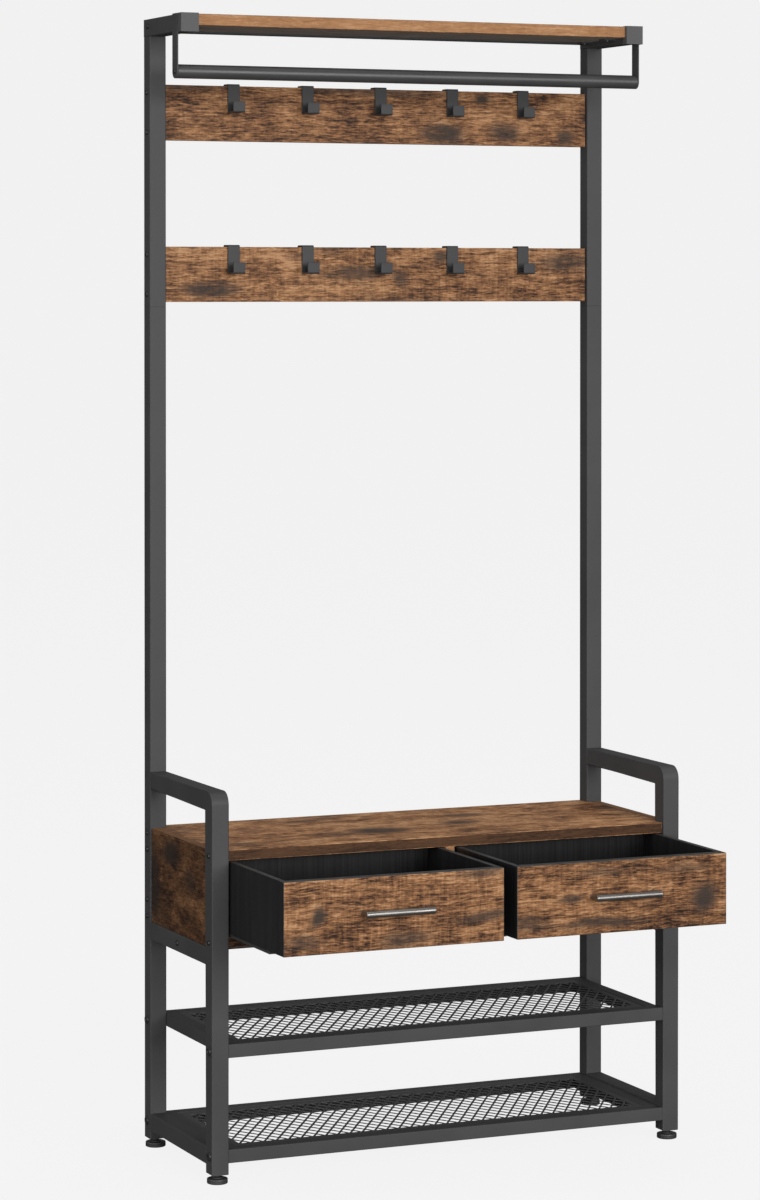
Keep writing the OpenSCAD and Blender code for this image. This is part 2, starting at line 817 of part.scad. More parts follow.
centre_divider();
drawer_front(true);  // drawer_left_front
drawer_side(true, true);  // drawer_left_outer_side
drawer_side(true, false);  // drawer_left_inner_side
drawer_back(true);  // drawer_left_back
drawer_base(true);  // drawer_left_base
drawer_handle(true);  // drawer_left_handle
drawer_screws(true);  // drawer_left_screws
drawer_glides(true);  // drawer_left_glides
drawer_front(false);  // drawer_right_front
drawer_side(false, true);  // drawer_right_outer_side
drawer_side(false, false);  // drawer_right_inner_side
drawer_back(false);  // drawer_right_back
drawer_base(false);  // drawer_right_base
drawer_handle(false);  // drawer_right_handle
drawer_screws(false);  // drawer_right_screws
drawer_glides(false);  // drawer_right_glides
shelf_long_rails();
shelf_end_rails();
shelf_meshes();
foot(-1, -1);  // foot_front_left
foot(1, -1);  // foot_front_right
foot(-1, 1);  // foot_back_left
foot(1, 1);  // foot_back_right
foot_inserts();
frame_fasteners();
wood_dowels();
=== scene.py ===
import json
import math

import bmesh
import bpy
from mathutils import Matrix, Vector


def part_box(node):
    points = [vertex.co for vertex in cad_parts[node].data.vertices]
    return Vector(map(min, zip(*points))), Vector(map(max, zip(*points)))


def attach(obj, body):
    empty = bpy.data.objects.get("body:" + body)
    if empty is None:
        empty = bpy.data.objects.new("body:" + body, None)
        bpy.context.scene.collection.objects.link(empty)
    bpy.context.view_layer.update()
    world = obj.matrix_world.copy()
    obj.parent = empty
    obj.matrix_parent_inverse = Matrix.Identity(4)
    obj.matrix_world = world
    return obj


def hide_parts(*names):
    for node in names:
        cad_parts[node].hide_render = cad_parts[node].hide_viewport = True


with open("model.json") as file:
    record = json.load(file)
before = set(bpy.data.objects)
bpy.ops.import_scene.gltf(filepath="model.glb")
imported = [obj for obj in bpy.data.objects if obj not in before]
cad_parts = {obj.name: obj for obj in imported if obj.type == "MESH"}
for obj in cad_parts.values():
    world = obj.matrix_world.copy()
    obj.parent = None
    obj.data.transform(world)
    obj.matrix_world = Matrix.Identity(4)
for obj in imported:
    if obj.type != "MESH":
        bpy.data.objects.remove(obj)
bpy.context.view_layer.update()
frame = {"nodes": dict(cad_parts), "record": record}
scene = bpy.context.scene
record = frame["record"]
bodyOf = {node: body for body, members in record["behaviour"]["bodies"].items() for node in members}
slotOf = {part["node"]: part["material_slot"] for part in record["subparts"]}

# camera

cameraPlan = {
    "place": (-2.4552, -5.5069, 1.3665),
    "turn": 23.537,   # degrees to the right of straight back
    "nod": 0.7164,    # degrees down
    "lens": 113.51,
    "shift": -0.222,
    "reach": 200,     # metres seen past the lens
}


def setCamera(plan):
    lens = bpy.data.cameras.new("roomCamera")
    lens.lens = plan["lens"]
    lens.shift_y = plan["shift"]
    lens.clip_end = plan["reach"]
    camera = bpy.data.objects.new("roomCamera", lens)
    scene.collection.objects.link(camera)
    camera.location = plan["place"]
    camera.rotation_euler = (math.radians(90 - plan["nod"]), 0, -math.radians(plan["turn"]))
    scene.camera = camera


setCamera(cameraPlan)


# small helpers for node trees

class NodeBench:
    def __init__(self, tree):
        self.tree = tree

    def add(self, kind, settings=None, inputs=None):
        node = self.tree.nodes.new(kind)
        for key, value in (settings or {}).items():
            setattr(node, key, value)
        for key, value in (inputs or {}).items():
            if isinstance(value, bpy.types.NodeSocket):
                self.tree.links.new(value, node.inputs[key])
            else:
                node.inputs[key].default_value = value
        return node

    def math(self, operation, first, second=0.0):
        return self.add("ShaderNodeMath", {"operation": operation}, {0: first, 1: second}).outputs[0]

    def vector(self, operation, first, second=(0, 0, 0)):
        node = self.add("ShaderNodeVectorMath", {"operation": operation}, {0: first, 1: second})
        return node.outputs["Value"] if operation == "LENGTH" else node.outputs["Vector"]

    def noise(self, coords, stretch, detail=4.0, roughness=0.55, distortion=0.0, shift=(0, 0, 0)):
        mapped = self.add("ShaderNodeMapping", {}, {"Vector": coords, "Scale": stretch, "Location": shift})
        made = self.add("ShaderNodeTexNoise", {}, {
            "Vector": mapped.outputs[0], "Scale": 1.0, "Detail": detail, "Roughness": roughness,
            "Distortion": distortion})
        return made.outputs["Fac"]

    def ramp(self, value, low, high, toLow=0.0, toHigh=1.0):
        return self.add("ShaderNodeMapRange", {"interpolation_type": "SMOOTHSTEP"},
                        {"Value": value, "From Min": low, "From Max": high,
                         "To Min": toLow, "To Max": toHigh}).outputs[0]

    def blend(self, share, first, second):
        node = self.add("ShaderNodeMix", {"data_type": "RGBA", "blend_type": "MIX"}, {0: share})
        for index, value in ((6, first), (7, second)):
            if isinstance(value, bpy.types.NodeSocket):
                self.tree.links.new(value, node.inputs[index])
            else:
                node.inputs[index].default_value = (*value, 1.0)
        return node.outputs[2]


def newMaterial(name):
    material = bpy.data.materials.new(name)
    material.use_nodes = True
    bench = NodeBench(material.node_tree)
    surface = material.node_tree.nodes["Principled BSDF"]
    coords = bench.add("ShaderNodeTexCoord").outputs["Object"]
    return material, bench, surface, coords


def wire(bench, surface, **sockets):
    for key, value in sockets.items():
        target = surface.inputs[key.replace("_", " ")]
        if isinstance(value, bpy.types.NodeSocket):
            bench.tree.links.new(value, target)
        else:
            target.default_value = value


# painted steel, plastic and bare metal

paintRecipe = {
    "frameSteel": {"paint": (0.052, 0.052, 0.053), "rough": 0.56, "shine": 0.30,
                   "grit": 2600, "gritHeight": 0.00004},
    "rodSteel": {"paint": (0.044, 0.044, 0.045), "rough": 0.38, "shine": 0.55,
                 "grit": 2600, "gritHeight": 0.00003},
    "hookSteel": {"paint": (0.036, 0.036, 0.038), "rough": 0.50, "shine": 0.30,
                  "grit": 2600, "gritHeight": 0.00003},
    "meshSteel": {"paint": (0.050, 0.050, 0.052), "rough": 0.50, "shine": 0.50,
                  "grit": 2600, "gritHeight": 0.00003},
    "fastenerSteel": {"paint": (0.020, 0.020, 0.021), "rough": 0.34, "shine": 0.50,
                      "grit": 3200, "gritHeight": 0.00001},
    "blackPlastic": {"paint": (0.040, 0.040, 0.041), "rough": 0.48, "shine": 0.40,
                     "grit": 1800, "gritHeight": 0.00004},
    "capPlastic": {"paint": (0.078, 0.077, 0.077), "rough": 0.56, "shine": 0.30,
                   "grit": 1800, "gritHeight": 0.00003},
}


def powderCoat(name, recipe):
    material, bench, surface, coords = newMaterial(name)
    cloud = bench.noise(coords, (9, 9, 9), detail=3)
    grit = bench.noise(coords, (recipe["grit"],) * 3, detail=2)
    paint = recipe["paint"]
    pale = tuple(min(1.0, part * 1.12) for part in paint)
    deep = tuple(part * 0.88 for part in paint)
    colour = bench.blend(bench.ramp(cloud, 0.3, 0.7), deep, pale)
    glint = tuple(part * 1.5 for part in paint)
    colour = bench.blend(bench.ramp(grit, 0.35, 0.7, 0.0, 0.22), colour, glint)
    rough = bench.math("ADD", bench.ramp(cloud, 0.3, 0.7, -0.04, 0.05), recipe["rough"])
    bump = bench.add("ShaderNodeBump", {}, {
        "Strength": 0.35, "Distance": recipe["gritHeight"], "Height": grit})
    wire(bench, surface, Base_Color=colour, Roughness=rough, Normal=bump.outputs[0],
         Specular_IOR_Level=recipe["shine"])
    return material


def brushedHandle(name):
    material, bench, surface, coords = newMaterial(name)
    brush = bench.noise(coords, (30, 3000, 3000), detail=3)
    cloud = bench.noise(coords, (25, 25, 25), detail=2)
    colour = bench.blend(bench.ramp(brush, 0.3, 0.7), (0.20, 0.19, 0.18), (0.34, 0.32, 0.30))
    rough = bench.math("ADD", bench.ramp(cloud, 0.3, 0.7, 0.0, 0.08), 0.36)
    bump = bench.add("ShaderNodeBump", {}, {"Strength": 0.2, "Distance": 0.00002, "Height": brush})
    wire(bench, surface, Base_Color=colour, Roughness=rough, Normal=bump.outputs[0], Metallic=1.0)
    return material


# plain streaked boards and bare beech

def streakedBoard(name, deep, pale, streak):
    material, bench, surface, coords = newMaterial(name)
    lines = bench.noise(coords, streak, detail=4, roughness=0.6)
    cloud = bench.noise(coords, (6, 6, 6), detail=3)
    colour = bench.blend(bench.ramp(lines, 0.35, 0.72), deep, pale)
    rough = bench.math("ADD", bench.ramp(cloud, 0.3, 0.7, -0.04, 0.06), 0.46)
    bump = bench.add("ShaderNodeBump", {}, {"Strength": 0.25, "Distance": 0.0001, "Height": lines})
    wire(bench, surface, Base_Color=colour, Roughness=rough, Normal=bump.outputs[0], Specular_IOR_Level=0.25)
    return material


def beech(name):
    material, bench, surface, coords = newMaterial(name)
    lines = bench.noise(coords, (60, 900, 900), detail=3)
    colour = bench.blend(bench.ramp(lines, 0.3, 0.7), (0.50, 0.33, 0.17), (0.66, 0.48, 0.28))
    wire(bench, surface, Base_Color=colour, Roughness=0.6)
    return material


# rustic boards: sawn grain, brown bands, dark smudges and knots

woodTones = {
    "pitch": (0.018, 0.009, 0.006),
    "deep": (0.092, 0.040, 0.018),
    "brown": (0.205, 0.094, 0.041),
    "tan": (0.330, 0.160, 0.070),
    "pale": (0.470, 0.265, 0.135),
    "smudge": (0.040, 0.030, 0.025),
}
woodSteps = (("pitch", 0.02), ("deep", 0.26), ("brown", 0.52), ("tan", 0.76), ("pale", 1.02))
woodDefaults = {
    "shift": (0, 0, 0), "turn": 0.0, "level": 0.54, "tone": 1.0, "smudge": 0.7, "spots": (),
    "grain": 1.7, "fine": 2.3, "mottle": 1.6, "drift": 1.0, "chatter": 0.5,
}
woodLayers = {   # how each layer of the print is stretched along the board
    "grain": {"stretch": (13, 250, 250), "detail": 6, "roughness": 0.66, "distortion": 0.3},
    "fine": {"stretch": (70, 520, 520), "detail": 4, "roughness": 0.72},
    "mottle": {"stretch": (22, 42, 42), "detail": 6, "roughness": 0.68, "shift": (3.1, 0, 1.7)},
    "drift": {"stretch": (4.5, 11, 11), "detail": 4, "roughness": 0.55, "shift": (1.3, 4.2, 0.6)},
    "chatter": {"stretch": (230, 18, 18), "detail": 4, "roughness": 0.6},
    "cloud": {"stretch": (6, 17, 17), "detail": 5, "roughness": 0.6, "shift": (7.7, 2.0, 5.2)},
}
layersInTone = ("grain", "fine", "mottle", "drift", "chatter")


def darkStain(bench, coords, sway, layers, plan):
    broken = bench.ramp(layers["mottle"], 0.38, 0.58)
    stain = bench.math("MULTIPLY", bench.ramp(layers["cloud"], 0.56, 0.70), broken)
    stain = bench.math("MULTIPLY", stain, plan["smudge"])
    for centre, reach, weight in plan["spots"]:
        moved = bench.vector("ADD", coords, bench.vector("MULTIPLY", sway, (0.05, 0.03, 0.03)))
        away = bench.vector("SUBTRACT", moved, centre)
        share = bench.vector("LENGTH", bench.vector("MULTIPLY", away, tuple(1 / part for part in reach)))
        ragged = bench.ramp(layers["mottle"], 0.30, 0.50, 0.45, 1.0)
        patch = bench.math("MULTIPLY", bench.ramp(share, 1.25, 0.30), ragged)
        stain = bench.math("MAXIMUM", stain, bench.math("MULTIPLY", patch, weight))
    return stain


def rusticWood(name, **changes):
    plan = {**woodDefaults, **changes}
    material, bench, surface, coords = newMaterial(name)
    tones = {key: tuple(min(1.0, part * plan["tone"]) for part in value) for key, value in woodTones.items()}
    placed = bench.add("ShaderNodeMapping", {}, {
        "Vector": coords, "Location": plan["shift"], "Rotation": (0, 0, math.radians(plan["turn"]))}).outputs[0]
    sway = bench.add("ShaderNodeTexNoise", {}, {"Vector": placed, "Scale": 9.0, "Detail": 3.0}).outputs["Color"]
    sway = bench.vector("SUBTRACT", sway, (0.5, 0.5, 0.5))
    bent = bench.vector("ADD", placed, bench.vector("MULTIPLY", sway, (0.02, 0.012, 0.012)))
    layers = {layer: bench.noise(bent, **recipe) for layer, recipe in woodLayers.items()}
    value = plan["level"]
    for layer in layersInTone:
        centred = bench.math("SUBTRACT", layers[layer], 0.5)
        value = bench.math("ADD", bench.math("MULTIPLY", centred, plan[layer]), value)
    firstTone, start = woodSteps[0]
    colour = tones[firstTone]
    for tone, end in woodSteps[1:]:
        colour = bench.blend(bench.ramp(value, start, end), colour, tones[tone])
        start = end
    colour = bench.blend(darkStain(bench, coords, sway, layers, plan), colour, tones["smudge"])
    rough = bench.ramp(layers["grain"], 0.3, 0.75, 0.52, 0.66)
    height = bench.math("ADD", bench.math("MULTIPLY", layers["grain"], 0.7),
                        bench.math("MULTIPLY", layers["fine"], 0.3))
    bump = bench.add("ShaderNodeBump", {}, {"Strength": 0.35, "Distance": 0.0004, "Height": height})
    wire(bench, surface, Base_Color=colour, Roughness=rough, Normal=bump.outputs[0], Specular_IOR_Level=0.16)
    return material


# dark spots: how far along and up the board's face, then half width, half height and strength

spotDepth = 0.05   # reach into the board


def spotsOn(node, face, rows):
    low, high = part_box(node)
    first, second = ("XYZ".index(axis) for axis in face)
    spots = []
    for along, up, wide, tall, weight in rows:
        centre = [(low[i] + high[i]) / 2 for i in range(3)]
        reach = [spotDepth] * 3
        for index, share, size in ((first, along, wide), (second, up, tall)):
            centre[index] = low[index] + share * (high[index] - low[index])
            reach[index] = size
        spots.append((tuple(centre), tuple(reach), weight))
    return spots


materials = {name: powderCoat(name, recipe) for name, recipe in paintRecipe.items()}
materials["handleMetal"] = brushedHandle("handleMetal")
materials["dowelBeech"] = beech("dowelBeech")
boardRecipe = {   # deep tone, pale tone and the streaks' scale
    "shelfUnderside": ((0.30, 0.25, 0.21), (0.66, 0.57, 0.49), (14, 320, 320)),
    "blackBoard": ((0.012, 0.012, 0.0125), (0.020, 0.020, 0.021), (90, 90, 6)),
    # painted highlight: a lighter copy of the black board for the drawer boards' top faces and rounded edges,
    # standing for the light their edges catch
    "blackEdge": ((0.040, 0.039, 0.038), (0.075, 0.072, 0.070), (60, 60, 60)),
    # painted shade: a darker copy of the black board for the drawers' inner backs and bases, standing for the
    # shade inside the drawers
    "blackBack": ((0.001, 0.001, 0.0011), (0.011, 0.011, 0.012), (420, 420, 5)),
}
for name, recipe in boardRecipe.items():
    materials[name] = streakedBoard(name, *recipe)
materials["topShelfWood"] = rusticWood("topShelfWood", shift=(0.3, 0.1, 0.4), smudge=0.2)
materials["upperBoardWood"] = rusticWood(
    "upperBoardWood", shift=(1.9, 0.2, 0.9), chatter=0.3, smudge=0.4,
    spots=spotsOn("hook_board_upper", "XZ", [
        (0.65, 0.20, 0.050, 0.020, 0.95), (0.80, 0.25, 0.030, 0.020, 0.85),
        (0.95, 0.15, 0.020, 0.015, 0.75), (0.75, 0.85, 0.020, 0.010, 0.95),
        (0.50, 0.95, 0.160, 0.010, 0.60), (0.05, 0.95, 0.070, 0.010, 0.60)]))
materials["lowerBoardWood"] = rusticWood(
    "lowerBoardWood", shift=(4.4, 0.3, 2.2), chatter=0.6, smudge=0.4,
    spots=spotsOn("hook_board_lower", "XZ", [
        (0.10, 0.25, 0.050, 0.015, 1.00), (0.45, 0.55, 0.080, 0.015, 0.75),
        (0.65, 0.85, 0.020, 0.010, 0.80), (0.95, 0.75, 0.060, 0.020, 0.70),
        (0.55, 0.40, 0.015, 0.020, 0.70)]))
materials["benchWood"] = rusticWood(
    "benchWood", shift=(2.6, 1.3, 3.1), level=0.60, tone=1.7, mottle=1.9,
    spots=spotsOn("bench_top", "XY", [
        (0.40, 0.35, 0.060, 0.040, 0.95), (0.60, 0.45, 0.045, 0.025, 0.85),
        (0.65, 0.70, 0.050, 0.020, 0.80), (0.30, 0.85, 0.050, 0.020, 0.70),
        (0.30, 0.30, 0.050, 0.020, 0.60)]))
materials["benchEdgeWood"] = rusticWood(
    "benchEdgeWood", shift=(5.6, 0.7, 2.1), level=0.42, grain=0.7, fine=0.8, mottle=0.2, drift=0.4, chatter=0.1,
    smudge=0.0, tone=0.42)
materials["leftDrawerWood"] = rusticWood(
    "leftDrawerWood", shift=(6.1, 0.9, 1.4), chatter=0.8, smudge=0.5,
    spots=spotsOn("drawer_left_front", "XZ", [
        (0.15, 0.50, 0.015, 0.020, 0.95), (0.55, 0.15, 0.050, 0.015, 0.70),
        (0.90, 0.35, 0.060, 0.010, 0.75), (0.90, 0.95, 0.050, 0.010, 0.65),
        (0.10, 0.15, 0.040, 0.015, 0.65)]))
materials["rightDrawerWood"] = rusticWood(
    "rightDrawerWood", shift=(8.2, 1.7, 2.8), chatter=0.6, smudge=0.5,
    spots=spotsOn("drawer_right_front", "XZ", [
        (0.90, 0.40, 0.025, 0.030, 0.95), (0.25, 0.50, 0.025, 0.007, 0.95),
        (0.40, 0.85, 0.050, 0.010, 0.55), (0.40, 0.15, 0.090, 0.010, 0.80),
        (0.05, 0.20, 0.050, 0.015, 0.70), (0.80, 0.85, 0.050, 0.010, 0.50)]))
materials["sidePanelWood"] = rusticWood(
    "sidePanelWood", shift=(3.3, 2.9, 0.7), turn=90, level=0.46, tone=0.62, grain=0.7, fine=1.6, chatter=0.2,
    spots=spotsOn("side_panel_left", "YZ", [
        (0.65, 0.80, 0.045, 0.025, 0.90), (0.30, 0.60, 0.035, 0.020, 0.70),
        (0.95, 0.40, 0.030, 0.090, 0.80)]))
materials["boxWood"] = rusticWood("boxWood", shift=(5.2, 3.7, 4.1))
materials["edgeWood"] = rusticWood(
    "edgeWood", shift=(7.2, 5.1, 1.1), level=0.34, mottle=0.5, chatter=0.1, smudge=0.1, tone=0.6)
materials["shelfEdgeWood"] = rusticWood(
    "shelfEdgeWood", shift=(9.6, 2.3, 3.9), level=0.78, grain=0.7, fine=0.9, tone=1.05, mottle=0.4, drift=0.3,
    chatter=0.1, smudge=0.0)
print("materials made:", len(materials))

slotMaterials = {
    "frame_steel": "frameSteel", "hook_steel": "hookSteel", "mesh_steel": "meshSteel",
    "rustic_board": "boxWood", "drawer_front_board": "boxWood", "drawer_black_board": "blackBoard",
    "black_plastic": "blackPlastic", "handle_metal": "handleMetal", "fastener_steel": "fastenerSteel",
    "dowel_beech": "dowelBeech",
}


# making and finishing pieces

def settle(bm, name, looks, smoothAngle=40.0, weighted=True):
    mesh = bpy.data.meshes.new(name)
    bm.normal_update()
    bm.to_mesh(mesh)
    bm.free()
    for look in looks:
        mesh.materials.append(materials[look])
    mesh.polygons.foreach_set("use_smooth", [True] * len(mesh.polygons))
    mesh.set_sharp_from_angle(angle=math.radians(smoothAngle))
    piece = bpy.data.objects.new(name, mesh)
    scene.collection.objects.link(piece)
    if weighted:
        modifier = piece.modifiers.new("evenFaces", "WEIGHTED_NORMAL")
        modifier.keep_sharp = True
        bakeModifiers(piece)
    return piece


def bakeModifiers(piece):
    bpy.context.view_layer.update()
    seen = piece.evaluated_get(bpy.context.evaluated_depsgraph_get())
    baked = bpy.data.meshes.new_from_object(seen, preserve_all_data_layers=True,
                                            depsgraph=bpy.context.evaluated_depsgraph_get())
    baked.name = piece.name
    piece.modifiers.clear()
    piece.data = baked


def standFor(piece, *cadNodes, slot=None):
    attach(piece, bodyOf[cadNodes[0]])
    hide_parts(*cadNodes)
    return piece


def along(axis, u, v, w):
    return {"X": (w, u, v), "Y": (v, w, u), "Z": (u, v, w)}[axis]


def split(axis, corner):
    x, y, z = corner
    return {"X": (y, z, x), "Y": (z, x, y), "Z": (x, y, z)}[axis]


def roundedRing(u0, v0, u1, v1, radius, steps):
    points = []
    for quarter, (cu, cv) in enumerate(((u1 - radius, v1 - radius), (u0 + radius, v1 - radius),
                                        (u0 + radius, v0 + radius), (u1 - radius, v0 + radius))):
        for step in range(steps + 1):
            angle = math.pi / 2 * (quarter + step / steps)
            points.append((cu + radius * math.cos(angle), cv + radius * math.sin(angle)))
    return points


tubeEndLip = 0.0003   # the small bevel round a sawn end


def squareTube(bm, axis, low, high, plan):
    wall, radius, steps, lip = plan["wall"], plan["corner"], plan["steps"], tubeEndLip
    u0, v0, w0 = split(axis, low)
    u1, v1, w1 = split(axis, high)
    outer = roundedRing(u0, v0, u1, v1, radius, steps)
    inset = roundedRing(u0 + lip, v0 + lip, u1 - lip, v1 - lip, radius - lip, steps)
    inner = roundedRing(u0 + wall, v0 + wall, u1 - wall, v1 - wall, max(radius - wall, lip), steps)
    rings = []
    for ring, w in ((inset, w0), (outer, w0 + lip), (outer, w1 - lip), (inset, w1), (inner, w1), (inner, w0)):
        rings.append([bm.verts.new(along(axis, u, v, w)) for u, v in ring])
    count = len(outer)
    for k in range(len(rings)):
        first, second = rings[k], rings[(k + 1) % len(rings)]
        for i in range(count):
            j = (i + 1) % count
            bm.faces.new((first[i], first[j], second[j], second[i]))


# turns a list of (radius, distance along the axis) into a round body

def lathe(bm, axis, centre, profile, segments=40):
    cu, cv, cw = split(axis, centre)
    rings = []
    for radius, height in profile:
        if radius < 1e-6:
            rings.append([bm.verts.new(along(axis, cu, cv, cw + height))])
            continue
        ring = []
        for i in range(segments):
            angle = 2 * math.pi * i / segments
            u, v = cu + radius * math.cos(angle), cv + radius * math.sin(angle)
            ring.append(bm.verts.new(along(axis, u, v, cw + height)))
        rings.append(ring)
    made = []
    for first, second in zip(rings, rings[1:]):
        for i in range(segments):
            j = (i + 1) % segments
            corners = [first[i % len(first)], first[j % len(first)],
                       second[j % len(second)], second[i % len(second)]]
            unique = list(dict.fromkeys(corners))
            if len(unique) > 2:
                made.append(bm.faces.new(unique))
    bmesh.ops.recalc_face_normals(bm, faces=made)


def sides(low, high):
    yield low, high
    yield (-high[0], low[1], low[2]), (-low[0], high[1], high[2])


# the square tube frame

tubePlan = {"width": 0.0275, "wall": 0.0012, "corner": 0.0018, "steps": 3}
shelfTubePlan = {"width": 0.021, "wall": 0.0012, "corner": 0.0015, "steps": 3}


def sideTubes(name, node, axis):
    low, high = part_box(node)
    width = tubePlan["width"]
    nearY = low.y if axis == "Y" else high.y - width
    nearZ = low.z if axis == "Z" else high.z - width
    bm = bmesh.new()
    for near, far in sides((high.x - width, nearY, nearZ), tuple(high)):
        squareTube(bm, axis, near, far, tubePlan)
    return standFor(settle(bm, name, ["frameSteel"]), node)


sideTubes("lowerBackPostTubes", "lower_back_posts", "Z")
sideTubes("upperBackPostTubes", "upper_back_posts", "Z")
sideTubes("middleSideRailTubes", "mid_side_rails", "Y")
sideTubes("bottomSideRailTubes", "bottom_side_rails", "Y")
sideTubes("topSideRailTubes", "top_side_rails", "Y")

armPlan = {"bend": 0.020, "bendSteps": 10, "corner": 0.0018}


def armAndFrontPosts(plan):
    postLow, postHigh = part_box("front_posts")
    armLow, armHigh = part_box("arm_rails")
    width = tubePlan["width"]
    front, back = postLow.y, armHigh.y
    outline = [(front, postLow.z)]
    for step in range(plan["bendSteps"] + 1):
        angle = math.pi - math.pi / 2 * step / plan["bendSteps"]
        outline.append((front + plan["bend"] * (1 + math.cos(angle)),
                        armHigh.z - plan["bend"] * (1 - math.sin(angle))))
    outline += [(back, armHigh.z), (back, armLow.z), (front + width, armLow.z), (front + width, postLow.z)]
    bm = bmesh.new()
    for near, far in sides((postHigh.x - width, 0, 0), (postHigh.x, 0, 0)):
        first = [bm.verts.new((near[0], y, z)) for y, z in outline]
        second = [bm.verts.new((far[0], y, z)) for y, z in outline]
        flats = [bm.faces.new(first), bm.faces.new(second[::-1])]
        for i in range(len(outline)):
            j = (i + 1) % len(outline)
            bm.faces.new((first[j], first[i], second[i], second[j]))
        rim = [edge for flat in flats for edge in flat.edges]
        bmesh.ops.bevel(bm, geom=rim, offset=plan["corner"], segments=3, profile=0.5, affect="EDGES",
                        clamp_overlap=False)
    bmesh.ops.recalc_face_normals(bm, faces=bm.faces)
    return standFor(settle(bm, "armAndFrontPostTubes", ["frameSteel"]), "front_posts", "arm_rails")


armAndFrontPosts(armPlan)


def crossTube(name, node, plan):
    low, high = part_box(node)
    bm = bmesh.new()
    squareTube(bm, "X", tuple(low), tuple(high), plan)
    return standFor(settle(bm, name, ["frameSteel"]), node)


crossTube("topBackRailTube", "top_back_rail", shelfTubePlan)
crossTube("boxSupportTube", "box_support_bar", tubePlan)


def shelfTubes():
    width = shelfTubePlan["width"]
    runs = (("shelf_long_rails", "X", "shelfLongTubes"), ("shelf_end_rails", "Y", "shelfEndTubes"))
    for node, axis, name in runs:
        low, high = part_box(node)
        bm = bmesh.new()
        for z in (low.z, high.z - width):
            if axis == "X":
                for y in (low.y, high.y - width):
                    squareTube(bm, axis, (low.x, y, z), (high.x, y + width, z + width), shelfTubePlan)
            else:
                for near, far in sides((high.x - width, low.y, z), (high.x, high.y, z + width)):
                    squareTube(bm, axis, near, far, shelfTubePlan)
        standFor(settle(bm, name, ["frameSteel"]), node)


shelfTubes()
print("tube frame made")


# rounded copies of CAD shapes

softPlan = {"merge": 0.000002, "flatAngle": 0.5, "edgeAngle": 50.0, "segments": 2}


def softened(name, node, looks, width):
    bm = bmesh.new()
    bm.from_mesh(frame["nodes"][node].data)
    bmesh.ops.remove_doubles(bm, verts=bm.verts, dist=softPlan["merge"])
    bmesh.ops.dissolve_limit(bm, angle_limit=math.radians(softPlan["flatAngle"]), verts=bm.verts,
                             edges=bm.edges)
    rim = [edge for edge in bm.edges if len(edge.link_faces) == 2
           and edge.calc_face_angle(0.0) > math.radians(softPlan["edgeAngle"])]
    bmesh.ops.bevel(bm, geom=rim, offset=width, segments=softPlan["segments"], profile=0.5, affect="EDGES",
                    clamp_overlap=False)
    for face in bm.faces:
        face.material_index = 0
    return standFor(settle(bm, name, looks), node)


softened("topRailCaps", "rail_caps", ["capPlastic"], 0.0004)
softened("rodHangerStraps", "hanger_straps", ["frameSteel"], 0.0003)
for node in sorted(frame["nodes"]):
    if node.startswith("hook_upper_") or node.startswith("hook_lower_"):
        softened(node.replace("hook_", "coatHook_"), node, ["hookSteel"], 0.0003)

rodPlan = {"wall": 0.001, "edge": 0.0006}


def hangingRod(plan):
    low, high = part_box("hanging_rod")
    radius = (high.z - low.z) / 2
    middle = (low.x, (low.y + high.y) / 2, (low.z + high.z) / 2)
    length = high.x - low.x
    edge, wall = plan["edge"], plan["wall"]
    bm = bmesh.new()
    lathe(bm, "X", middle, [(radius - wall, 0), (radius - edge, 0), (radius, edge), (radius, length - edge),
                            (radius - edge, length), (radius - wall, length)], segments=64)
    return standFor(settle(bm, "hangingRodTube", ["rodSteel"]), "hanging_rod")


hangingRod(rodPlan)
print("rod, straps, caps and hooks made")


# boards

def finishBoard(bm, name, node, looks, faces, edge=0.0006, edgeLook=0):
    bmesh.ops.bevel(bm, geom=list(bm.edges), offset=edge, segments=2, profile=0.5, affect="EDGES",
                    clamp_overlap=True)
    bm.normal_update()
    for face in bm.faces:
        axis = max(range(3), key=lambda i: abs(face.normal[i]))
        key = ("+" if face.normal[axis] > 0 else "-") + "XYZ"[axis]
        flat = abs(face.normal[axis]) > 0.999
        face.material_index = (faces or {}).get(key, 0) if flat else edgeLook
    return standFor(settle(bm, name, looks), node)


def board(name, node, looks, faces=None, edge=0.0006, edgeLook=0):
    low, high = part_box(node)
    bm = bmesh.new()
    bmesh.ops.create_cube(bm, size=1.0)
    for vert in bm.verts:
        vert.co = Vector([low[i] if vert.co[i] < 0 else high[i] for i in range(3)])
    return finishBoard(bm, name, node, looks, faces, edge, edgeLook)


def notchedBoard(name, node, looks, faces):
    low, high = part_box(node)
    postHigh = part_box("lower_back_posts")[1]
    wallX, wallY = postHigh.x - tubePlan["width"], postHigh.y - tubePlan["width"]
    rightSide = [(wallX, low.y), (wallX, -wallY), (high.x, -wallY),
                 (high.x, wallY), (wallX, wallY), (wallX, high.y)]
    outline = rightSide + [(-x, y) for x, y in reversed(rightSide)]
    bm = bmesh.new()
    below = [bm.verts.new((x, y, low.z)) for x, y in outline]
    above = [bm.verts.new((x, y, high.z)) for x, y in outline]
    bm.faces.new(below[::-1])
    bm.faces.new(above)
    for i in range(len(outline)):
        j = (i + 1) % len(outline)
        bm.faces.new((below[i], below[j], above[j], above[i]))
    return finishBoard(bm, name, node, looks, faces)


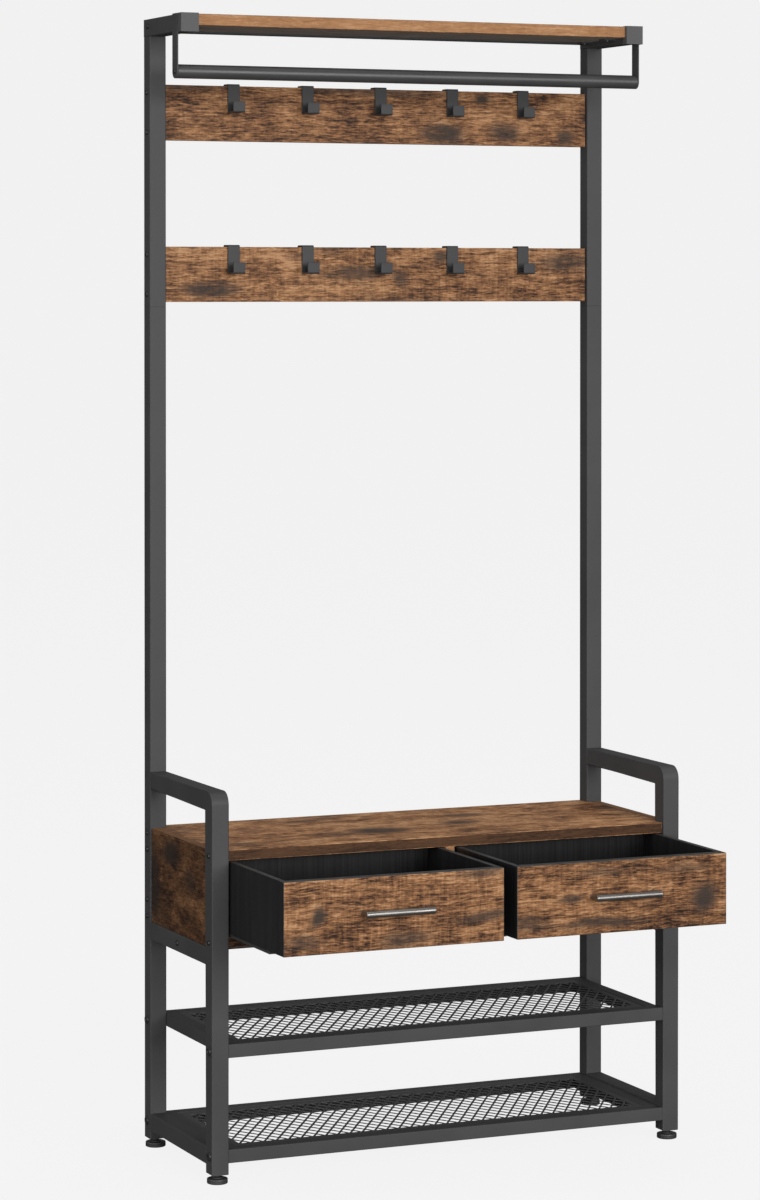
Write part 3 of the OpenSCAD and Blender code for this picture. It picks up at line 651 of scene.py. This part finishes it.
board("topShelfBoard", "top_shelf_board", ["topShelfWood", "shelfEdgeWood", "shelfUnderside"],
      {"-Y": 1, "+Y": 1, "-Z": 2})
board("upperHookBoard", "hook_board_upper", ["upperBoardWood", "edgeWood"], {"+Z": 1, "-Z": 1})
board("lowerHookBoard", "hook_board_lower", ["lowerBoardWood", "edgeWood"], {"+Z": 1, "-Z": 1})
notchedBoard("benchTopBoard", "bench_top", ["benchWood", "benchEdgeWood"], {"-Y": 1, "+Y": 1})
notchedBoard("boxBottomBoard", "box_bottom", ["boxWood", "edgeWood"], {"-Y": 1, "+Y": 1})
board("boxBackBoard", "back_panel", ["boxWood"])
board("leftSideBoard", "side_panel_left", ["sidePanelWood", "shelfEdgeWood"], {"+Z": 1})
board("rightSideBoard", "side_panel_right", ["sidePanelWood", "shelfEdgeWood"], {"+Z": 1})
board("dividerBoard", "centre_divider", ["boxWood", "shelfEdgeWood"], {"-Y": 1})
for side, look in (("left", "leftDrawerWood"), ("right", "rightDrawerWood")):
    front = f"drawer_{side}_front"
    # the drawer front's top face and rounded edges, and the top faces of the drawer sides and backs, take the
    # lighter board tone, a painted highlight
    board(f"{side}DrawerFront", front, ["blackBoard", look, "blackEdge"], {"-Y": 1, "+Z": 2}, edgeLook=2)
    for part in ("outer_side", "inner_side"):
        board(f"{side}Drawer_{part}", f"drawer_{side}_{part}", ["blackBoard", "blackEdge"], {"+Z": 1},
              edge=0.0004)
    # the drawer backs and bases take the darker board tone, painted shade inside the drawer
    board(f"{side}DrawerBack", f"drawer_{side}_back", ["blackBack", "blackEdge"], {"+Z": 1}, edge=0.0004)
    board(f"{side}DrawerBottom", f"drawer_{side}_base", ["blackBack"], edge=0.0002)
print("boards made")


# drawer handles

handlePlan = {"bar": 0.00525, "edge": 0.0008, "pitch": 0.102, "post": 0.00475, "postNeck": 0.0010}


def drawerHandle(side, plan):
    node = f"drawer_{side}_handle"
    low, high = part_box(node)
    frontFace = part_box(f"drawer_{side}_front")[0].y
    barY, barZ = low.y + plan["bar"], (low.z + high.z) / 2
    length = high.x - low.x
    middle = (low.x + high.x) / 2
    edge, bar, post, neck = plan["edge"], plan["bar"], plan["post"], plan["postNeck"]
    cut = edge * 0.3
    reach = frontFace - barY
    barProfile = [(0, 0), (bar - edge, 0), (bar - cut, cut), (bar, edge), (bar, length - edge),
                  (bar - cut, length - cut), (bar - edge, length), (0, length)]
    postProfile = [(0, bar * 0.5), (post, bar * 0.5), (post, reach - neck * 2), (post * 0.9, reach - neck),
                   (post, reach), (0, reach)]
    bm = bmesh.new()
    lathe(bm, "X", (low.x, barY, barZ), barProfile, segments=36)
    for sign in (-1, 1):
        lathe(bm, "Y", (middle + sign * plan["pitch"] / 2, barY, barZ), postProfile, segments=28)
    return standFor(settle(bm, f"{side}DrawerHandle", ["handleMetal"]), node)


for side in ("left", "right"):
    drawerHandle(side, handlePlan)


# levelling feet

footPlan = {"pad": 0.016, "height": 0.008, "edge": 0.0014, "hollow": 0.0004, "groove": 0.0005,
            "collar": 0.0085, "collarHeight": 0.0018, "collarEdge": 0.0006,
            "stem": 0.0040, "threadPitch": 0.00125, "threadDepth": 0.00045}


def levellingFoot(node, plan):
    low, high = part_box(node)
    centre = ((low.x + high.x) / 2, (low.y + high.y) / 2, low.z)
    pad, edge, top, groove = plan["pad"], plan["edge"], plan["height"], plan["groove"]
    collar, collarTop, small = plan["collar"], plan["height"] + plan["collarHeight"], plan["collarEdge"]
    cut = edge * 0.3
    underside = [(0, plan["hollow"]), (pad - 3 * edge, plan["hollow"]), (pad - 2.4 * edge, 0), (pad - edge, 0)]
    rim = [(pad - cut, cut), (pad, edge), (pad, top * 0.55), (pad - groove, top * 0.58),
           (pad - groove, top * 0.66), (pad, top * 0.69), (pad, top - edge), (pad - cut, top - cut)]
    upper = [(pad - edge, top), (collar + 0.001, top), (collar, top + small), (collar, collarTop - small),
             (collar - small, collarTop)]
    profile = underside + rim + upper
    height = collarTop
    stem, depth = plan["stem"], plan["threadDepth"]
    while height + plan["threadPitch"] < high.z - low.z:
        profile += [(stem - depth, height), (stem, height + plan["threadPitch"] / 2)]
        height += plan["threadPitch"]
    profile += [(stem - depth, height), (0, high.z - low.z)]
    bm = bmesh.new()
    lathe(bm, "Z", centre, profile, segments=40)
    return standFor(settle(bm, node.replace("foot_", "levellingFoot_"), ["blackPlastic"]), node)


for node in ("foot_front_left", "foot_front_right", "foot_back_left", "foot_back_right"):
    levellingFoot(node, footPlan)
print("handles and feet made")


# geometry nodes: bolt and screw heads on marked points

def newGeometryTree(name, sockets):
    tree = bpy.data.node_groups.new(name, "GeometryNodeTree")
    tree.interface.new_socket(name="Geometry", in_out="INPUT", socket_type="NodeSocketGeometry")
    for label, kind in sockets:
        tree.interface.new_socket(name=label, in_out="INPUT", socket_type=kind)
    tree.interface.new_socket(name="Geometry", in_out="OUTPUT", socket_type="NodeSocketGeometry")
    bench = NodeBench(tree)
    return tree, bench, bench.add("NodeGroupInput").outputs, bench.add("NodeGroupOutput").inputs


def runTree(piece, tree, values):
    modifier = piece.modifiers.new(tree.name, "NODES")
    modifier.node_group = tree
    for item in tree.interface.items_tree:
        if item.item_type == "SOCKET" and item.in_out == "INPUT" and item.name in values:
            modifier[item.identifier] = values[item.name]
    bakeModifiers(piece)


def headTree():
    tree, bench, given, result = newGeometryTree("placeHeads", [
        ("Head", "NodeSocketObject"), ("Seed", "NodeSocketInt"), ("Material", "NodeSocketMaterial")])
    head = bench.add("GeometryNodeObjectInfo", {}, {"Object": given["Head"]})
    outward = bench.add("GeometryNodeInputNamedAttribute", {"data_type": "FLOAT_VECTOR"}, {"Name": "outward"})
    size = bench.add("GeometryNodeInputNamedAttribute", {"data_type": "FLOAT_VECTOR"}, {"Name": "headSize"})
    aim = bench.add("FunctionNodeAlignRotationToVector", {"axis": "Z"}, {
        "Vector": outward.outputs["Attribute"]})
    spin = bench.add("FunctionNodeRandomValue", {"data_type": "FLOAT"}, {"Seed": given["Seed"]})
    spin.inputs[2].default_value = 0.0
    spin.inputs[3].default_value = 2 * math.pi
    turn = bench.add("ShaderNodeCombineXYZ", {}, {"Z": spin.outputs[1]})
    asRotation = bench.add("FunctionNodeEulerToRotation", {}, {0: turn.outputs[0]})
    turned = bench.add("FunctionNodeRotateRotation", {"rotation_space": "LOCAL"},
                       {"Rotation": aim.outputs[0], "Rotate By": asRotation.outputs[0]})
    placed = bench.add("GeometryNodeInstanceOnPoints", {}, {
        "Points": given["Geometry"], "Instance": head.outputs["Geometry"], "Rotation": turned.outputs[0],
        "Scale": size.outputs["Attribute"]})
    real = bench.add("GeometryNodeRealizeInstances", {}, {"Geometry": placed.outputs[0]})
    painted = bench.add("GeometryNodeSetMaterial", {}, {
        "Geometry": real.outputs[0], "Material": given["Material"]})
    tree.links.new(painted.outputs[0], result["Geometry"])
    return tree


def hexRadius(angle, flat):
    part = (angle + math.pi / 6) % (math.pi / 3) - math.pi / 6
    return flat / math.cos(part)


headPlan = {"segments": 24, "socket": 0.52, "socketLip": 0.05, "depth": 0.62, "sharpAngle": 38}


def socketHead(name, plan):
    segments, socket = plan["segments"], plan["socket"]
    domeRings = [("round", 1.0, 0.0), ("round", 1.0, 0.45), ("round", 0.93, 0.82), ("round", 0.78, 1.0)]
    socketRings = [("hex", socket + plan["socketLip"], 1.0), ("hex", socket, 0.92),
                   ("hex", socket, 1.0 - plan["depth"])]
    bm = bmesh.new()
    rings = []
    for kind, radius, height in domeRings + socketRings:
        ring = []
        for i in range(segments):
            angle = 2 * math.pi * i / segments
            reach = radius if kind == "round" else hexRadius(angle, radius * math.cos(math.pi / 6))
            ring.append(bm.verts.new((reach * math.cos(angle), reach * math.sin(angle), height)))
        rings.append(ring)
    for first, second in zip(rings, rings[1:]):
        for i in range(segments):
            j = (i + 1) % segments
            bm.faces.new((first[i], first[j], second[j], second[i]))
    bm.faces.new(rings[-1])
    bm.faces.new(rings[0][::-1])
    mesh = bpy.data.meshes.new(name)
    bm.normal_update()
    bm.to_mesh(mesh)
    bm.free()
    mesh.polygons.foreach_set("use_smooth", [True] * len(mesh.polygons))
    mesh.set_sharp_from_angle(angle=math.radians(plan["sharpAngle"]))
    return bpy.data.objects.new(name, mesh)


def markedPoints(name, rows):
    mesh = bpy.data.meshes.new(name)
    mesh.from_pydata([row[0] for row in rows], [], [])
    for label, index in (("outward", 1), ("headSize", 2)):
        attribute = mesh.attributes.new(label, "FLOAT_VECTOR", "POINT")
        attribute.data.foreach_set("vector", [part for row in rows for part in row[index]])
    piece = bpy.data.objects.new(name, mesh)
    scene.collection.objects.link(piece)
    return piece


boltPlan = {   # head sizes are radius, radius and height
    "small": (0.0045, 0.0045, 0.0025), "large": (0.0070, 0.0070, 0.0025), "screw": (0.0040, 0.0040, 0.0025),
    "hookBoltPitch": 0.063, "panelBoltPitch": 0.080, "tabWidth": 0.020, "seed": 4, "drawerSeed": 9,
}


def middleOf(node, index):
    low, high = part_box(node)
    return (low[index] + high[index]) / 2


def frameBoltRows(plan):
    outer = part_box("lower_back_posts")[1].x
    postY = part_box("lower_back_posts")[1].y - tubePlan["width"] / 2
    small, large = [], []
    for node in ("hook_board_upper", "hook_board_lower"):
        for sign in (-1, 1):
            small.append((middleOf(node, 1), middleOf(node, 2) + sign * plan["hookBoltPitch"] / 2))
    for sign in (-1, 1):
        small.append((postY, middleOf("back_panel", 2) + sign * plan["panelBoltPitch"] / 2))
        small.append((sign * postY, middleOf("bench_top", 2)))
        small.append((sign * postY, middleOf("box_bottom", 2)))
    small.append((middleOf("box_support_bar", 1), middleOf("box_support_bar", 2)))
    small.append((middleOf("top_back_rail", 1), middleOf("top_back_rail", 2)))
    low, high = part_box("shelf_long_rails")
    half = shelfTubePlan["width"] / 2
    for y in (low.y + half, high.y - half):
        for z in (low.z + half, high.z - half):
            large.append((y, z))
    rows = []
    for sign in (-1, 1):
        rows += [((sign * outer, y, z), (sign, 0, 0), plan["small"]) for y, z in small]
        rows += [((sign * outer, y, z), (sign, 0, 0), plan["large"]) for y, z in large]
        rodEnd = (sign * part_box("hanger_straps")[1].x, middleOf("hanging_rod", 1), middleOf("hanging_rod", 2))
        rows.append((rodEnd, (sign, 0, 0), plan["screw"]))
    tabLow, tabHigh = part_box("shelf_tabs")
    for sign in (-1, 1):
        for y in (tabLow.y + plan["tabWidth"] / 2, tabHigh.y - plan["tabWidth"] / 2):
            rows.append(((sign * (tabHigh.x - plan["tabWidth"] / 2), y, tabLow.z), (0, 0, -1), plan["screw"]))
    return rows


placeHeads = headTree()
headShape = socketHead("socketHeadShape", headPlan)
frameBolts = markedPoints("frameBoltHeads", frameBoltRows(boltPlan))
runTree(frameBolts, placeHeads, {
    "Head": headShape, "Seed": boltPlan["seed"], "Material": materials["fastenerSteel"]})
standFor(frameBolts, "frame_fasteners")
for side in ("left", "right"):
    node = f"drawer_{side}_screws"
    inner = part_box(f"drawer_{side}_front")[1].y
    centre, halfPitch = middleOf(node, 0), handlePlan["pitch"] / 2
    rows = [((centre + sign * halfPitch, inner, middleOf(node, 2)), (0, 1, 0), boltPlan["screw"])
            for sign in (-1, 1)]
    screws = markedPoints(f"{side}DrawerScrewHeads", rows)
    runTree(screws, placeHeads, {
        "Head": headShape, "Seed": boltPlan["drawerSeed"], "Material": materials["fastenerSteel"]})
    standFor(screws, node)
print("bolt and screw heads placed")


# geometry nodes: expanded mesh

meshPlan = {"pitchX": 0.0206, "pitchY": 0.0315, "strand": 0.0026, "gauge": 0.0013, "lean": 28.0,
            "landY": 0.010, "landX": 0.004, "drop": 0.001, "sheet": 0.0015}


strandPlan = {"stations": 5, "swell": 0.35}   # a strand widens towards the bonds at its ends


def strandShape(name, length, width, gauge, lean):
    bm = bmesh.new()
    rings = []
    stations = strandPlan["stations"]
    for step in range(stations):
        share = step / (stations - 1)
        swell = 1 + strandPlan["swell"] * abs(2 * share - 1) ** 3
        tilt = math.radians(lean) * (1 - abs(2 * share - 1) ** 2)
        ring = []
        for du, dv in ((-1, -1), (1, -1), (1, 1), (-1, 1)):
            u, v = du * width * swell / 2, dv * gauge / 2
            ring.append(bm.verts.new(((share - 0.5) * length, u * math.cos(tilt) - v * math.sin(tilt),
                                      u * math.sin(tilt) + v * math.cos(tilt))))
        rings.append(ring)
    for first, second in zip(rings, rings[1:]):
        for i in range(4):
            j = (i + 1) % 4
            bm.faces.new((first[i], first[j], second[j], second[i]))
    bm.faces.new(rings[0][::-1])
    bm.faces.new(rings[-1])
    bmesh.ops.recalc_face_normals(bm, faces=bm.faces)
    mesh = bpy.data.meshes.new(name)
    bm.to_mesh(mesh)
    bm.free()
    return bpy.data.objects.new(name, mesh)


def strandTree():
    tree, bench, given, result = newGeometryTree("expandedMesh", [
        ("Columns", "NodeSocketInt"), ("Rows", "NodeSocketInt"), ("Pitch X", "NodeSocketFloat"),
        ("Pitch Y", "NodeSocketFloat"), ("Height", "NodeSocketFloat"), ("Angle", "NodeSocketFloat"),
        ("Strand A", "NodeSocketObject"), ("Strand B", "NodeSocketObject"), ("Material", "NodeSocketMaterial")])
    stepX = bench.math("MULTIPLY", given["Pitch X"], 0.5)
    stepY = bench.math("MULTIPLY", given["Pitch Y"], 0.5)
    spanX = bench.math("MULTIPLY", stepX, bench.math("SUBTRACT", given["Columns"], 1.0))
    spanY = bench.math("MULTIPLY", stepY, bench.math("SUBTRACT", given["Rows"], 1.0))
    grid = bench.add("GeometryNodeMeshGrid", {}, {"Size X": spanX, "Size Y": spanY,
                                                  "Vertices X": given["Columns"], "Vertices Y": given["Rows"]})
    index = bench.add("GeometryNodeInputIndex").outputs[0]
    column = bench.math("FLOOR", bench.math("DIVIDE", bench.math("ADD", index, 0.5), given["Rows"]))
    row = bench.math("SUBTRACT", index, bench.math("MULTIPLY", column, given["Rows"]))
    odd = bench.math("FLOORED_MODULO", bench.math("ADD", column, row), 2.0)
    isOdd = bench.add("FunctionNodeCompare", {"data_type": "FLOAT", "operation": "GREATER_THAN"},
                      {0: odd, 1: 0.5}).outputs[0]
    isEven = bench.add("FunctionNodeBooleanMath", {"operation": "NOT"}, {0: isOdd}).outputs[0]
    joined = bench.add("GeometryNodeJoinGeometry")
    for chosen, label, sign in ((isEven, "Strand A", 1.0), (isOdd, "Strand B", -1.0)):
        shape = bench.add("GeometryNodeObjectInfo", {}, {"Object": given[label]})
        turn = bench.add("ShaderNodeCombineXYZ", {}, {"Z": bench.math("MULTIPLY", given["Angle"], sign)})
        rotation = bench.add("FunctionNodeEulerToRotation", {}, {0: turn.outputs[0]})
        placed = bench.add("GeometryNodeInstanceOnPoints", {}, {
            "Points": grid.outputs["Mesh"], "Selection": chosen, "Instance": shape.outputs["Geometry"],
            "Rotation": rotation.outputs[0]})
        tree.links.new(placed.outputs[0], joined.inputs[0])
    lift = bench.add("ShaderNodeCombineXYZ", {}, {"Z": given["Height"]})
    moved = bench.add("GeometryNodeTransform", {}, {
        "Geometry": joined.outputs[0], "Translation": lift.outputs[0]})
    real = bench.add("GeometryNodeRealizeInstances", {}, {"Geometry": moved.outputs[0]})
    painted = bench.add("GeometryNodeSetMaterial", {}, {
        "Geometry": real.outputs[0], "Material": given["Material"]})
    tree.links.new(painted.outputs[0], result["Geometry"])
    return tree


def expandedShelves(plan):
    low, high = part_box("shelf_meshes")
    stepX, stepY = plan["pitchX"] / 2, plan["pitchY"] / 2
    columns = 2 * int((high.x - plan["landX"]) / stepX)
    rows = 2 * int((high.y - plan["landY"]) / stepY)
    length = math.hypot(stepX, stepY)
    angle = math.atan2(stepY, stepX)
    strandA = strandShape("strandA", length, plan["strand"], plan["gauge"], plan["lean"])
    strandB = strandShape("strandB", length, plan["strand"], plan["gauge"], -plan["lean"])
    tree = strandTree()
    heights = (low.z + plan["sheet"] / 2, high.z - plan["sheet"] / 2)
    parts = []
    for number, height in enumerate(heights):
        holder = bpy.data.objects.new(f"meshSheet{number}", bpy.data.meshes.new(f"meshSheet{number}"))
        scene.collection.objects.link(holder)
        runTree(holder, tree, {
            "Columns": columns, "Rows": rows, "Pitch X": plan["pitchX"], "Pitch Y": plan["pitchY"],
            "Height": height, "Angle": angle, "Strand A": strandA, "Strand B": strandB,
            "Material": materials["meshSteel"]})
        parts.append(holder)
    bm = bmesh.new()
    for part in parts:
        bm.from_mesh(part.data)
        bpy.data.objects.remove(part)
    reachX, reachY = columns * stepX / 2, rows * stepY / 2
    for height in heights:
        bottom, top = height - plan["sheet"] / 2, height + plan["sheet"] / 2
        outer = [(low.x, low.y), (high.x, low.y), (high.x, high.y), (low.x, high.y)]
        inner = [(-reachX, -reachY), (reachX, -reachY), (reachX, reachY), (-reachX, reachY)]
        loops = [[bm.verts.new((x, y, z)) for x, y in ring] for ring, z in
                 ((outer, bottom), (outer, top), (inner, top), (inner, bottom))]
        for k in range(4):
            first, second = loops[k], loops[(k + 1) % 4]
            for i in range(4):
                j = (i + 1) % 4
                bm.faces.new((first[i], first[j], second[j], second[i]))
    for face in bm.faces:
        face.material_index = 0
    piece = settle(bm, "expandedMeshSheets", ["meshSteel"], smoothAngle=20.0, weighted=False)
    return standFor(piece, "shelf_meshes")


sheets = expandedShelves(meshPlan)
print("expanded mesh made:", len(sheets.data.polygons), "faces")


# what stays as the CAD made it gets its material

for node, body in frame["nodes"].items():
    if not body.hide_render:
        for place in body.material_slots:
            place.material = materials[slotMaterials[slotOf[node]]]


# floor, background and lights

stagePlan = {"backdrop": 0.880, "glow": 0.20, "floorBounce": 0.16, "floorShadow": 0.06, "floorSize": 60.0}
lightPlan = [
    {"name": "keyLight", "place": (1.6, -9.5, 2.8), "aim": (0, 0, 0.4), "size": (6.0, 4.0), "power": 640},
    {"name": "frontFill", "place": (-3.5, -8.5, 0.7), "aim": (0, 0, 0.3), "size": (4.0, 2.0), "power": 280},
    {"name": "leftFill", "place": (-7.0, -2.0, 1.6), "aim": (0, 0, 0.8), "size": (4.0, 3.0), "power": 150},
    {"name": "topLight", "place": (0.3, -0.5, 7.5), "aim": (0, 0, 0.5), "size": (4.0, 4.0), "power": 110},
]


def buildStage(plan):
    mesh = bpy.data.meshes.new("roomFloor")
    half = plan["floorSize"]
    corners = [(-half, -half, 0), (half, -half, 0), (half, half, 0), (-half, half, 0)]
    mesh.from_pydata(corners, [], [(0, 1, 2, 3)])
    floor = bpy.data.objects.new("roomFloor", mesh)
    scene.collection.objects.link(floor)
    material = bpy.data.materials.new("paleFloor")
    material.use_nodes = True
    bench = NodeBench(material.node_tree)
    bench.tree.nodes.remove(bench.tree.nodes["Principled BSDF"])
    output = bench.tree.nodes["Material Output"]
    path = bench.add("ShaderNodeLightPath")
    shown = bench.add("ShaderNodeEmission", {}, {
        "Color": (1, 1, 1, 1), "Strength": plan["backdrop"] - plan["floorShadow"] * plan["glow"]})
    caught = bench.add("ShaderNodeBsdfDiffuse", {}, {"Color": (plan["floorShadow"],) * 3 + (1,)})
    bounce = bench.add("ShaderNodeBsdfDiffuse", {}, {"Color": (plan["floorBounce"],) * 3 + (1,)})
    seen = bench.add("ShaderNodeAddShader", {}, {0: shown.outputs[0], 1: caught.outputs[0]})
    mixed = bench.add("ShaderNodeMixShader", {}, {
        0: path.outputs["Is Camera Ray"], 1: bounce.outputs[0], 2: seen.outputs[0]})
    bench.tree.links.new(mixed.outputs[0], output.inputs["Surface"])
    mesh.materials.append(material)
    world = bpy.data.worlds.new("studioWorld")
    scene.world = world
    world.use_nodes = True
    bench = NodeBench(world.node_tree)
    background = world.node_tree.nodes["Background"]
    path = bench.add("ShaderNodeLightPath")
    extra = bench.math("MULTIPLY", path.outputs["Is Camera Ray"], plan["backdrop"] - plan["glow"])
    strength = bench.math("ADD", extra, plan["glow"])
    background.inputs["Color"].default_value = (1, 1, 1, 1)
    bench.tree.links.new(strength, background.inputs["Strength"])


def addLight(plan):
    lamp = bpy.data.lights.new(plan["name"], "AREA")
    lamp.shape = "RECTANGLE"
    lamp.size, lamp.size_y = plan["size"]
    lamp.energy = plan["power"]
    light = bpy.data.objects.new(plan["name"], lamp)
    scene.collection.objects.link(light)
    light.location = plan["place"]
    light.rotation_euler = (Vector(plan["aim"]) - Vector(plan["place"])).to_track_quat("-Z", "Y").to_euler()


scene.view_settings.view_transform = "Standard"
buildStage(stagePlan)
for lightRow in lightPlan:
    addLight(lightRow)
print("stage and lights ready")
